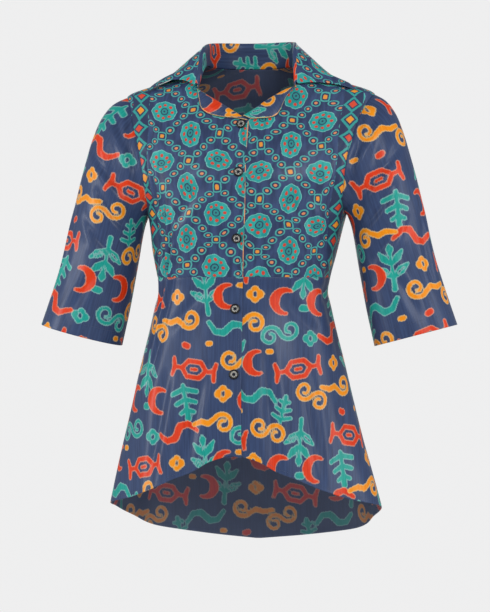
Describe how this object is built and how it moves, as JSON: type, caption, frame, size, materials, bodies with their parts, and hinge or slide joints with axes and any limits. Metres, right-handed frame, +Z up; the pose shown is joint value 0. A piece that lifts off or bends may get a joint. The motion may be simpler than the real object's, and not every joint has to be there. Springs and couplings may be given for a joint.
{
  "type": "blouse",
  "caption": "Fitted cotton blouse with an open convertible collar, elbow sleeves, a buttoned front, a waist seam in the fronts and a hem that is high in front and long behind.",
  "frame": {"origin": "on the line between the two high shoulder points, midway, where the wearer's shoulders hold the blouse up", "axes": "+Z up, the front facing -Y, +X to the wearer's left"},
  "size_m": [0.666, 0.274, 0.8142],
  "materials": {
    "medallion_cloth": "smooth printed cotton with a slight sheen, navy with teal rosettes and small ringed dots",
    "scroll_cloth": "smooth printed cotton with a slight sheen, navy with teal, orange and red scrolls",
    "button_plastic": "glossy black with a pale mottled ring"
  },
  "bodies": {
    "root": {"front_right_upper": "medallion_cloth", "front_left_upper": "medallion_cloth", "front_right_lower": "scroll_cloth", "front_left_lower": "scroll_cloth", "back": "scroll_cloth", "sleeve_right": "scroll_cloth", "sleeve_left": "scroll_cloth", "collar": "medallion_cloth", "lapel_right": "scroll_cloth", "lapel_left": "scroll_cloth", "button_1": "button_plastic", "button_2": "button_plastic", "button_3": "button_plastic", "button_4": "button_plastic", "button_5": "button_plastic"}
  },
  "joints": []
}
